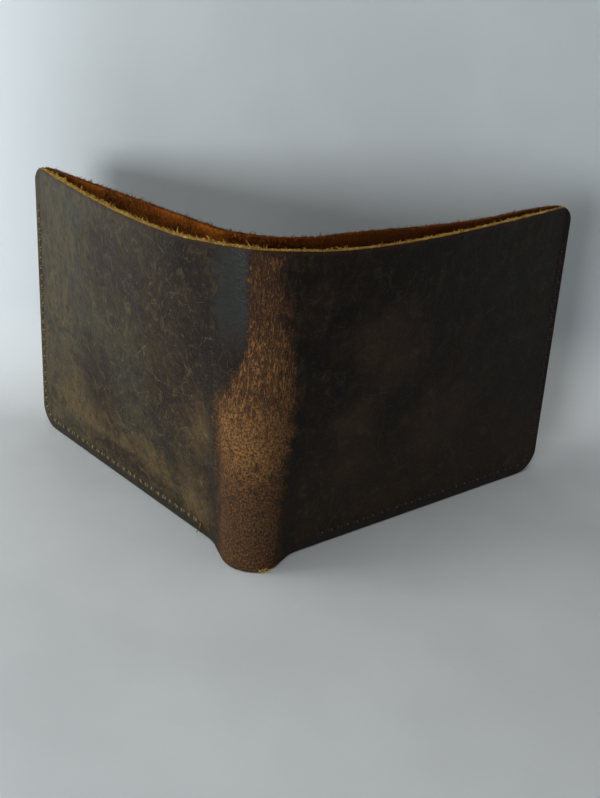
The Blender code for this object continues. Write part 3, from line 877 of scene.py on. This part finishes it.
def seam_path():
    """(u, z) points of the sewing line: down the side, round the corner and along the bottom edge."""
    corner_u, corner_z = PANEL_LENGTH - BOTTOM_CORNER_RADIUS, BOTTOM_CORNER_RADIUS
    reach = np.array([BOTTOM_CORNER_RADIUS - SIDE_INSET, BOTTOM_CORNER_RADIUS - BOTTOM_INSET])
    angles = np.linspace(0.0, math.pi / 2, 30)
    corner = [corner_u, corner_z] + reach * np.column_stack([np.cos(angles), -np.sin(angles)])
    start, end = (PANEL_LENGTH - SIDE_INSET, SEAM_TOP), (SEAM_FOOT_U, BOTTOM_INSET)
    return np.vstack([[start], corner, [end]])


def spaced(path, pitch):
    """Points about a pitch apart along a path, with both its ends."""
    lengths = travelled(path)
    count = max(1, round(lengths[-1] / pitch))
    at = np.linspace(0.0, lengths[-1], count + 1)
    return np.column_stack([np.interp(at, lengths, path[:, i]) for i in range(2)])


def seam_press(path):
    """How far the seam pulls the leather in at (u, z): a shallow groove, deeper at the holes."""
    holes = spaced(path, STITCH_PITCH)

    def pulled(u, z):
        at = np.stack([u, z], axis=-1)
        found = np.full(u.shape, np.inf)
        for a, b in zip(path[:-1], path[1:]):
            ab = b - a
            t = np.clip(((at - a) @ ab) / (ab @ ab), 0.0, 1.0)
            found = np.minimum(found, np.linalg.norm(at - a - t[..., None] * ab, axis=-1))
        groove = ease(1 - found / SEAM_HALF_WIDTH) * SEAM_DEPTH
        near = np.min(np.linalg.norm(at[..., None, :] - holes, axis=-1), axis=-1)
        return groove + ease(1 - near / DIMPLE_RADIUS) * DIMPLE_DEPTH

    return pulled


RINGS, AROUND = 9, 8  # of a stitch's tube
HOLE_SIDES = 10
HOLE_PROFILE = ((0.9, -0.25), (1.0, 0.04), (0.8, 0.08), (0.35, 0.02))  # radius as a share, height in mm


def stitch(start, end, count, jitter):
    """One stitch as rings of (u, z, height over the leather), with its UVs."""
    way = (end - start) / np.linalg.norm(end - start)
    across = np.array([-way[1], way[0]])
    middle = (start + end) / 2 + across * 0.06 * MM * jitter[0]
    tilt = STITCH_SLANT + 0.07 * jitter[1]
    way, across = (
        way * math.cos(tilt) + across * math.sin(tilt),
        across * math.cos(tilt) - way * math.sin(tilt),
    )
    run = np.linalg.norm(end - start) * STITCH_SHARE * (1 + 0.05 * jitter[2])
    points, uvs = [], []
    for t in np.linspace(0.0, 1.0, RINGS):
        arch = math.sin(math.pi * t)
        lift = (0.55 * arch**0.6 - 0.42) * STITCH_RADIUS * 1.4
        thick = STITCH_RADIUS * (0.62 + 0.38 * arch**0.5) * (1 + 0.06 * jitter[3])
        for angle in np.linspace(0.0, TURN, AROUND, endpoint=False):
            at = middle + way * (t - 0.5) * run + across * thick * math.cos(angle)
            points.append((at[0], at[1], lift + thick * 0.85 * math.sin(angle)))
            uvs.append(((t - 0.5) * run + count * STITCH_PITCH, angle / TURN * UV_UNIT))
    return points, uvs


def tube_faces(base, rings, sides):
    """Faces of a tube of rings of points from number base on, closed at both ends."""
    faces = []
    for r in range(rings - 1):
        for k in range(sides):
            a, b = base + r * sides + k, base + r * sides + (k + 1) % sides
            faces.append((a, b, b + sides, a + sides))
    last = base + (rings - 1) * sides
    return faces + [[base + k for k in range(sides)], [last + k for k in range(sides)]]


def hole_rings(hole):
    """A pricked hole as a low dark crater, closed underneath."""
    points = []
    for radius, height in HOLE_PROFILE:
        for angle in np.linspace(0.0, TURN, HOLE_SIDES, endpoint=False):
            at = hole + HOLE_RADIUS * radius * np.array([math.cos(angle), math.sin(angle)])
            points.append((at[0], at[1], height * MM))
    return points, [(u, z) for u, z, _ in points]


def sewing(name, side, rows, looks):
    """Rows of saddle stitches and their holes as one mesh.

    Each row is (holes, face, outward): face(u, z, n) is a point n inwards from the leather's face, and
    outward is the sign of n that leads away from the leather.
    """
    points, faces, slots, uvs = [], [], [], []

    def keep(made, made_uvs, made_faces, slot, face, outward):
        at = np.array(made)
        points.append(face(at[:, 0], at[:, 1], outward * at[:, 2]))
        uvs.extend(made_uvs)
        faces.extend(made_faces)
        slots.extend([slot] * len(made_faces))
        return len(made)

    base = 0
    for holes, face, outward in rows:
        for i, (start, end) in enumerate(zip(holes[:-1], holes[1:])):
            made, made_uvs = stitch(start, end, i, RANDOM.normal(0.0, 1.0, 4))
            base += keep(made, made_uvs, tube_faces(base, RINGS, AROUND), 0, face, outward)
        for hole in holes:
            made, made_uvs = hole_rings(hole)
            made_faces = tube_faces(base, len(HOLE_PROFILE), HOLE_SIDES)
            base += keep(made, made_uvs, made_faces, 1, face, outward)
    row = in_row(np.concatenate(points), side)
    piece = mesh_piece(name, row, faces, slots, looks, np.array(uvs) / UV_UNIT)
    return piece


# ---- Fibres on the cut edges ----
FIBRE_TAPER = np.array([1.0, 0.95, 0.75, 0.3])  # thickness at each ring, as a share
FIBRE_RINGS, FIBRE_SIDES = len(FIBRE_TAPER), 3
ROOT_DEPTH = 0.1 * MM


def fibres(name, side, surface, roots, lengths, leanings, thickness, look):
    """Loose fibres: roots are (s, z, n), leanings are their directions in the same terms."""
    count = len(roots)
    share = np.linspace(0.0, 1.0, FIBRE_RINGS)
    curl = RANDOM.normal(0.0, 0.45, (count, 3)) * [1.0, 0.5, 0.7]
    bent = leanings[:, None, :] * share[None, :, None] + curl[:, None, :] * (share**2)[None, :, None]
    at = roots[:, None, :] + bent * lengths[:, None, None]
    middle = surface(at[..., 0], at[..., 1], at[..., 2])
    way = middle[:, -1] - middle[:, 0]
    way = way / np.linalg.norm(way, axis=1, keepdims=True)
    first = np.cross(way, RANDOM.normal(0.0, 1.0, (count, 3)))
    first = first / np.linalg.norm(first, axis=1, keepdims=True)
    second = np.cross(way, first)
    thick = thickness[:, None] * FIBRE_TAPER[None, :]
    rings = []
    for angle in np.linspace(0.0, TURN, FIBRE_SIDES, endpoint=False):
        out = first * math.cos(angle) + second * math.sin(angle)
        rings.append(middle + out[:, None, :] * thick[..., None])
    points = np.stack(rings, axis=2).reshape(-1, 3)
    per = FIBRE_RINGS * FIBRE_SIDES
    faces = [face for i in range(count) for face in tube_faces(i * per, FIBRE_RINGS, FIBRE_SIDES)]
    uvs = np.repeat(at[..., :2] * [side, 1.0] / UV_UNIT, FIBRE_SIDES, axis=1).reshape(-1, 2)
    return mesh_piece(name, in_row(points, side), faces, None, [look], uvs)


def edge_fuzz(name, side, surface, length, where, spread, tall, thick, look):
    """Fibres along a top edge.

    where gives their distances from the spine, length the distance at which the panel starts, spread their
    reach from the middle of the leather, and tall and thick their usual length and radius.
    """
    count = len(where)
    edge = HEIGHT - corner_rise(where - length, TOP_CORNER_RADIUS) - ROOT_DEPTH
    roots = np.column_stack([where, edge, RANDOM.uniform(-spread, spread, count)])
    leanings = np.column_stack([
        RANDOM.normal(0.0, 0.6, count), RANDOM.uniform(0.35, 1.0, count), RANDOM.normal(0.0, 0.45, count),
    ])
    lengths = tall * np.clip(RANDOM.lognormal(-0.3, 0.45, count), 0.25, 2.2)
    thickness = thick * np.clip(RANDOM.lognormal(-0.15, 0.5, count), 0.4, 2.4)
    return fibres(name, side, surface, roots, lengths, leanings, thickness, look)


def clumped(low, high, count, clumps, width):
    """Distances bunched round some places, and the rest spread evenly."""
    centres = RANDOM.uniform(low, high, clumps)
    bunched = RANDOM.choice(centres, count // 2) + RANDOM.normal(0.0, width, count // 2)
    return np.clip(np.concatenate([bunched, RANDOM.uniform(low, high, count - count // 2)]), low, high)


# ---- Build ----
COVER_BEND = 16.0 * MM  # a distance from the spine's middle, handed to bend
LINING_BEND = 14.6 * MM
COVER_FRAY = {"left": 0.15 * MM, "right": 0.09 * MM}
LINING_FRAY = 0.10 * MM
POCKET_FRAY = 0.03 * MM


def bend(piece, side_name, reach):
    """Bakes the piece's placement into its mesh; reach is not used."""
    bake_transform(piece)


def lining_face(u, z, n):
    """The lining's face towards the cover."""
    return lining_surface(u + LINING_U0, z, n - LINING_THICKNESS / 2)


def card_face(u, z, n):
    """The face that the cards touch: whichever pocket is on top at that height, or the lining."""
    found = panel_surface(u, z, LINING_N + LINING_THICKNESS / 2 + n)
    for _, layer, low, high, leaves in POCKETS:
        covered = (z > low) & (z < high)
        pocket = pocket_surface(layer, leaves)(u, z, POCKET_THICKNESS / 2 + n)
        found = np.where(covered[..., None], pocket, found)
    return found


def make_covers(looks, seam):
    pull = seam_press(seam)
    for name, side in SIDES.items():
        piece = leather_sheet(
            f"cover_leather_{name}", side, cover_surface_of(side),
            NOSE_LENGTH + far_columns(-NOSE_LENGTH, 0.85 * MM, True), lambda s: s - NOSE_LENGTH,
            (0.0, HEIGHT), COVER_THICKNESS, True, 1.0 * MM, looks, COVER_FRAY[name],
            lambda s, z: pull(s - NOSE_LENGTH, z),
        )
        bend(piece, name, COVER_BEND)
        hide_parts(f"cover_{name}", *(["cover_spine"] if side < 0 else []))


def make_linings(looks):
    for name, side in SIDES.items():
        piece = leather_sheet(
            f"lining_leather_{name}", side, LINING_SURFACES[side],
            LINING_U0 + far_columns(-LINING_U0, 1.0 * MM, True), lambda s: s - LINING_U0,
            (0.0, HEIGHT), LINING_THICKNESS, True, 1.4 * MM, looks, LINING_FRAY,
        )
        bend(piece, name, LINING_BEND)
        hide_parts(f"lining_{name}", *(["lining_spine"] if side < 0 else []))


def make_pockets(looks):
    for name, side in SIDES.items():
        for pocket_name, layer, low, high, leaves in POCKETS:
            piece = leather_sheet(
                f"{pocket_name}_leather_{name}", side, pocket_surface(layer, leaves),
                far_columns(POCKET_START, 1.6 * MM, False), lambda u: u,
                (low, high), POCKET_THICKNESS, False, 1.6 * MM, looks, POCKET_FRAY,
            )
            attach(piece, f"{name}_half")
            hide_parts(f"{pocket_name}_{name}")


POCKET_SIDE_ENDS = ((2.5, 74.0), (2.5, 22.0))  # (u, z) of the hidden seams' ends, in mm
UPPER_HEM_ENDS = ((8.0, 43.0), (78.0, 43.0))
MIDDLE_HEM_ENDS = ((8.0, 31.0), (66.0, 31.0))


def make_sewing(seam, looks):
    """The seam round each half, seen on both faces, and the pockets' seams."""
    for name, side in SIDES.items():
        cover = cover_surface_of(side)

        def cover_face(u, z, n):
            return cover(u + NOSE_LENGTH, z, n - COVER_THICKNESS / 2 + SEAM_DEPTH)

        edge = spaced(seam, STITCH_PITCH)
        hidden = (POCKET_SIDE_ENDS, UPPER_HEM_ENDS, MIDDLE_HEM_ENDS)
        pocket_side, upper_hem, middle_hem = [spaced(np.array(ends) * MM, STITCH_PITCH) for ends in hidden]
        for kind, rows in (
            ("edge_stitch", [(edge, cover_face, -1), (edge, card_face, 1)]),
            ("pocket_stitch", [(pocket_side, lining_face, -1), (pocket_side, card_face, 1)]),
            ("upper_hem_stitch", [(upper_hem, lining_face, -1)]),
            ("middle_hem_stitch", [(middle_hem, lining_face, -1)]),
        ):
            piece = sewing(f"{kind}es_{name}", side, rows, looks[name])
            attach(piece, f"{name}_half")
            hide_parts(f"{kind}ing_{name}")


COVER_FUZZ = {
    # fibres on each half's top edge, their usual length and radius
    "left": (1900, 0.62 * MM, 0.125 * MM),
    "right": (1100, 0.5 * MM, 0.095 * MM),
}
LINING_FUZZ = (2400, 0.55 * MM, 0.07 * MM)


def make_fuzz(cover_look, lining_look):
    """The loose fibres on both top edges, bunched as a blunt cut leaves them."""
    for name, side in SIDES.items():
        count, tall, thick = COVER_FUZZ[name]
        where = clumped(0.5 * MM, COVER_LENGTH - 14 * MM, count, 30, 1.3 * MM)
        fuzz = edge_fuzz(
            f"cover_fibres_{name}", side, cover_surface_of(side), NOSE_LENGTH, where, 0.62 * MM,
            tall, thick, cover_look,
        )
        bend(fuzz, name, COVER_BEND)

        count, tall, thick = LINING_FUZZ
        where = clumped(0.5 * MM, LINING_LENGTH - 8 * MM, count, 60, 2.0 * MM)
        fuzz = edge_fuzz(
            f"lining_fibres_{name}", side, LINING_SURFACES[side], LINING_U0, where, 0.55 * MM,
            tall, thick, lining_look,
        )
        bend(fuzz, name, LINING_BEND)


def make_tuft(look, count=26):
    """A tuft where the raw bottom edge shows under the nose."""
    roots = np.column_stack([
        RANDOM.normal(3.4 * MM, 0.8 * MM, count), RANDOM.uniform(0.2, 1.0, count) * MM,
        np.full(count, -0.7 * MM),
    ])
    leanings = np.column_stack([
        RANDOM.normal(0.0, 0.7, count), RANDOM.normal(0.0, 0.25, count), RANDOM.uniform(-1.0, -0.3, count),
    ])
    lengths = RANDOM.uniform(0.6, 1.3, count) * MM
    thickness = RANDOM.uniform(0.06, 0.1, count) * MM
    tuft = fibres("bottom_tuft", 1, cover_surface_of(1), roots, lengths, leanings, thickness, look)
    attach(tuft, "spine")


def make_thread_end(look):
    """The melted end of the thread, beside the nose: two short tails."""
    roots = np.array([[0.6, 3.0, -0.8], [0.5, 3.2, -0.8]]) * MM + [NOSE_LENGTH, 0.0, 0.0]
    leanings = np.array([[-0.55, -0.75, -0.25], [-0.8, -0.4, -0.3]])
    lengths, thickness = np.array([2.6, 1.8]) * MM, np.array([0.32, 0.26]) * MM
    tail = fibres("thread_end", -1, cover_surface_of(-1), roots, lengths, leanings, thickness, look)
    bend(tail, "left", COVER_BEND)


def build():
    pockets = pocket_grain()
    cover_edge = raw_edge("cover_cut_edge", (104, 78, 30), (176, 138, 62), (212, 178, 96))
    pocket_edge = raw_edge("pocket_cut_edge", (62, 42, 24), (122, 86, 46), (158, 120, 70))
    lining_edge = raw_edge("lining_cut_edge", (66, 32, 8), (132, 72, 18), (172, 106, 36))
    cover_flesh = suede("cover_flesh", (62, 33, 12), (128, 74, 30), (164, 106, 48))
    # Its last colour is painted shade towards the right half.
    lining_flesh = suede("lining_flesh", (46, 20, 2), (132, 68, 6), (184, 106, 22), (64, 30, 6))
    hole = dark_hole()
    sewn = {
        "left": [waxed_thread("waxed_thread", (56, 45, 30), (112, 95, 64)), hole],
        # Painted shade: the right half's thread is a darker copy of the left's, for the half that lies away
        # from the light.
        "right": [waxed_thread("dark_waxed_thread", (24, 14, 9), (58, 38, 25)), hole],
    }
    seam = seam_path()
    make_covers([cover_grain(), cover_edge, cover_flesh], seam)
    make_linings([lining_flesh, lining_edge, pockets])
    make_pockets([cover_flesh, pocket_edge, pockets])
    make_sewing(seam, sewn)
    cover_fibre = raw_edge("cover_fibre", (148, 114, 48), (198, 162, 80), (226, 196, 116))
    make_fuzz(cover_fibre, raw_edge("lining_fibre", (66, 32, 8), (124, 70, 20), (160, 100, 38)))
    make_tuft(cover_fibre)
    make_thread_end(raw_edge("melted_thread", (72, 66, 28), (122, 112, 50), (150, 140, 70)))


# ---- Stage ----
FLOOR_FRONT = -6.0
FLOOR_SIDES = 4.0
FLOOR_DROP = 0.0002  # under the part, so that the two don't meet in one plane
CURVE_START = 0.044
CURVE_RADIUS = 0.035
CURVE_STEPS = 16
WALL_TOP = 0.9
SWEEP_TURN = math.radians(6.0)


def paper():
    """Pale paper, with painted light: the wall is painted paler on its left. It is clear from behind."""
    look = Look("paper_sweep")
    across, way = look.axes()
    mottle = look.noise(1.6, 3.0, 0.5)
    floor = look.shades(mottle, 0.3, 0.7, (182, 186, 188), (190, 194, 196))
    wall = look.shades(mottle, 0.3, 0.7, (183, 190, 193), (189, 196, 199))
    # Painted light: the wall's left is painted paler, as light from the left would make it.
    wall = look.paint(wall, look.ramp(across, -0.5, -1.1), (214, 222, 226))
    colour = look.mix(look.ramp(way, 0.5, 1.3), floor, wall)
    normal = look.bump(look.noise(40.0, 3.0, 0.5), 0.0001, 0.3)
    material = look.done(colour, 0.9, normal, Specular_IOR_Level=0.2)
    behind = look.add("ShaderNodeNewGeometry").outputs["Backfacing"]
    clear = look.add("ShaderNodeBsdfTransparent").outputs[0]
    seen = look.add("ShaderNodeMixShader", {0: behind, 1: look.shader.outputs[0], 2: clear})
    look.feed(look.tree.nodes["Material Output"].inputs["Surface"], seen.outputs[0])
    return material


def background():
    """A sweep of paper: floor, curve and wall."""
    profile = [(FLOOR_FRONT, 0.0), (0.0, 0.0), (CURVE_START, 0.0)]
    for angle in np.linspace(0.0, math.pi / 2, CURVE_STEPS + 1)[1:]:
        bent = CURVE_RADIUS * np.array([math.sin(angle), 1 - math.cos(angle)])
        profile.append((CURVE_START + bent[0], bent[1]))
    profile.append((CURVE_START + CURVE_RADIUS, WALL_TOP))
    xs = np.linspace(-FLOOR_SIDES, FLOOR_SIDES, 9)
    turn = Matrix.Rotation(SWEEP_TURN, 3, "Z")
    points = [tuple(turn @ Vector((x, y, z - FLOOR_DROP))) for y, z in profile for x in xs]
    faces = []
    for i in range(len(profile) - 1):
        for j in range(len(xs) - 1):
            a = i * len(xs) + j
            faces.append((a, a + 1, a + len(xs) + 1, a + len(xs)))
    uvs = np.array([(x, y + z) for y, z in profile for x in xs]) / UV_UNIT
    sweep = mesh_piece("paper_sweep", points, faces, None, [paper()], uvs)
    if sweep.data.polygons[0].normal.z < 0:
        sweep.data.flip_normals()


def area_light(name, place, aim, size, power, colour):
    data = bpy.data.lights.new(name, "AREA")
    data.shape = "RECTANGLE"
    data.size, data.size_y = size
    data.energy = power
    data.color = colour
    light = bpy.data.objects.new(name, data)
    bpy.context.scene.collection.objects.link(light)
    light.location = place
    light.rotation_euler = (Vector(aim) - Vector(place)).to_track_quat("-Z", "Y").to_euler()


LIGHTS = (
    # name, place, aim, size, watts, colour
    ("window", (-0.34, -0.84, 0.13), (0.0, 0.0, 0.06), (0.32, 0.24), 5.0, (0.97, 0.985, 1.0)),
    ("side", (-0.72, -0.14, 0.24), (0.0, 0.05, 0.06), (0.4, 0.3), 3.4, (1.0, 0.99, 0.96)),
    ("ceiling", (-0.1, -0.05, 1.1), (0.0, 0.05, 0.0), (1.2, 1.2), 8.2, (1.0, 0.985, 0.96)),
)
ROOM_COLOUR = (0.80, 0.84, 0.88, 1.0)
ROOM_STRENGTH = 0.10


def lights():
    """A low window in front on the left, a fill from the left, a ceiling and a dim room."""
    for light in LIGHTS:
        area_light(*light)
    world = bpy.data.worlds.new("room")
    bpy.context.scene.world = world
    world.use_nodes = True
    room = world.node_tree.nodes["Background"].inputs
    room["Color"].default_value = ROOM_COLOUR
    room["Strength"].default_value = ROOM_STRENGTH
    bpy.context.scene.view_settings.view_transform = "Standard"


EYE = (0.02794, TIP_Y - 0.20538, 0.14490)
HEADING, PITCH, ROLL = math.radians(4.670), math.radians(24.091), math.radians(-3.379)
LENS, SENSOR = 40.885, 36.0


def camera():
    """The eye stands in front of the spine, a little to the right, looking down on the wallet."""
    level = Vector((-math.sin(HEADING), math.cos(HEADING), 0.0))
    forward = level * math.cos(PITCH) - Vector((0.0, 0.0, math.sin(PITCH)))
    right = Vector((math.cos(HEADING), math.sin(HEADING), 0.0))
    down = forward.cross(right)
    right_turned = math.cos(ROLL) * right + math.sin(ROLL) * down
    down_turned = math.cos(ROLL) * down - math.sin(ROLL) * right
    data = bpy.data.cameras.new("eye")
    data.lens = LENS
    data.sensor_width = SENSOR
    data.clip_start = 0.01
    eye = bpy.data.objects.new("eye", data)
    bpy.context.scene.collection.objects.link(eye)
    axes = Matrix((right_turned, -down_turned, -forward)).transposed().to_4x4()
    eye.matrix_world = Matrix.Translation(EYE) @ axes
    bpy.context.scene.camera = eye


camera()
build()
background()
lights()
